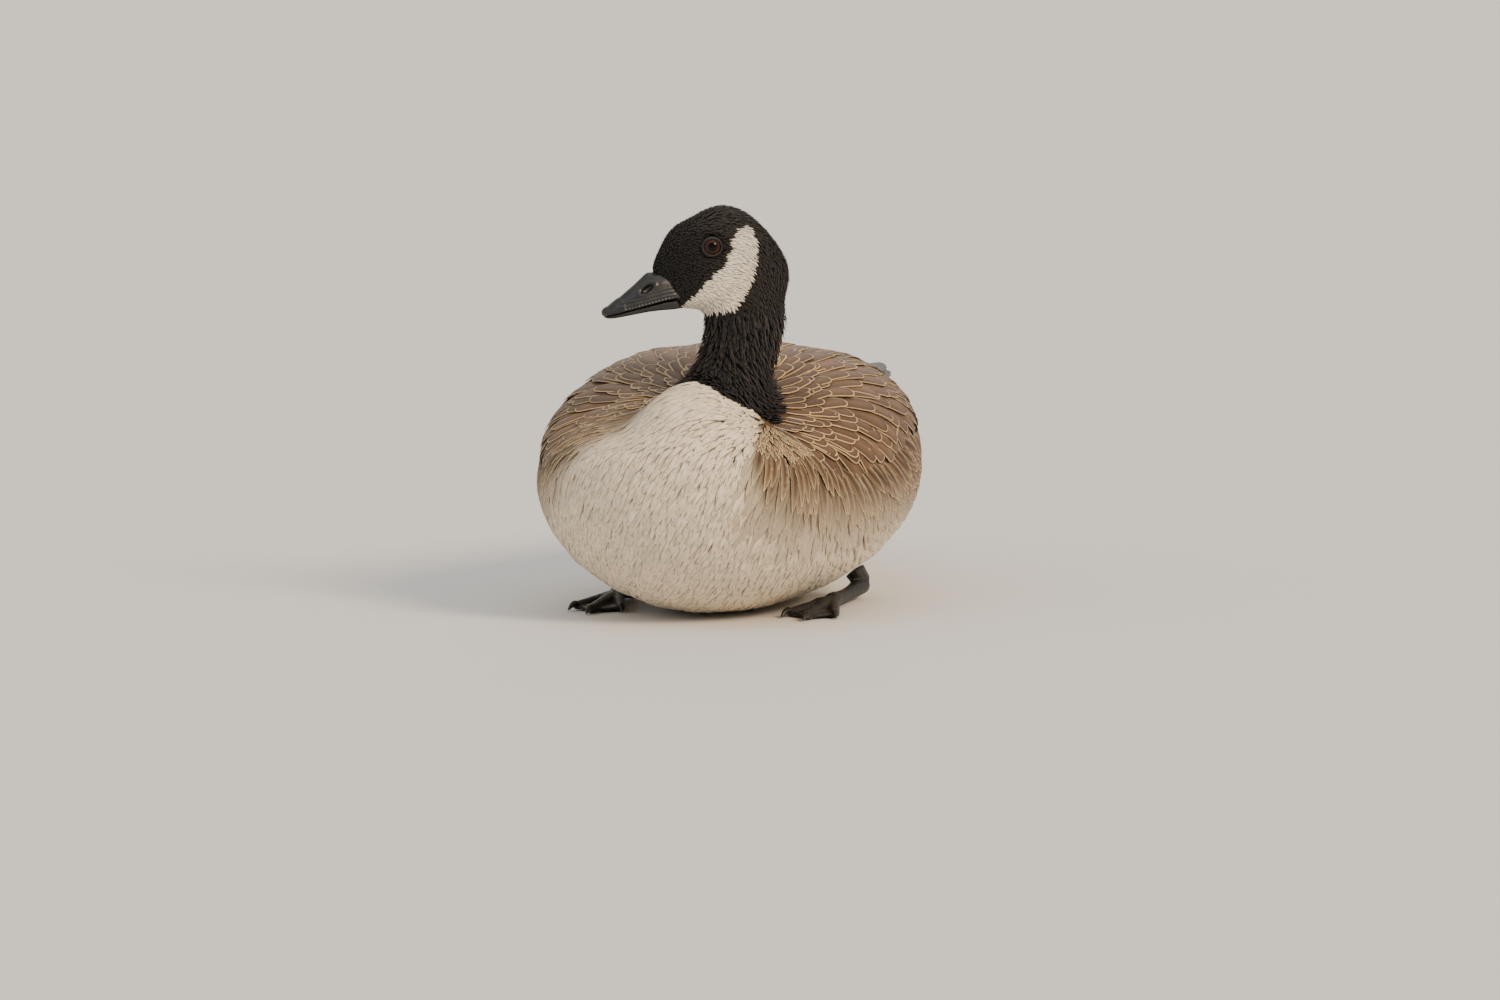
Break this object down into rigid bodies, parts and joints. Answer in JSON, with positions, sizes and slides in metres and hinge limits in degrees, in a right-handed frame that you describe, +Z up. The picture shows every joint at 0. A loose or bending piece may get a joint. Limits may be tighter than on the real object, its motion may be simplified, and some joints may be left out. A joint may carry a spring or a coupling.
{
  "type": "canada goose",
  "caption": "Canada goose resting on its belly with folded wings, its neck drawn up and its head turned to its right; a life-size still figure",
  "frame": {"origin": "middle of the belly's flat underside, on the floor", "axes": "+Z up, -Y the way the breast faces, +X the bird's own left"},
  "size_m": [0.271, 0.565, 0.2979],
  "materials": {
    "plumage_pale": "soft pale breast and belly feathers, matt",
    "plumage_brown": "brown wing feathers with pale edges, matt",
    "plumage_black": "black neck, head and tail feathers, faint sheen",
    "bill_horn": "black horn, satin",
    "eye": "dark brown eye, wet gloss",
    "leg_skin": "black scaly skin, half matt"
  },
  "bodies": {
    "root": {"torso": "plumage_pale", "neck": "plumage_black", "head": "plumage_black", "bill_upper": "bill_horn", "bill_lower": "bill_horn", "eye_left": "eye", "eye_right": "eye", "wing_left": "plumage_brown", "wing_right": "plumage_brown", "tail": "plumage_black", "leg_left": "leg_skin", "leg_right": "leg_skin", "foot_left": "leg_skin", "foot_right": "leg_skin"}
  },
  "joints": []
}
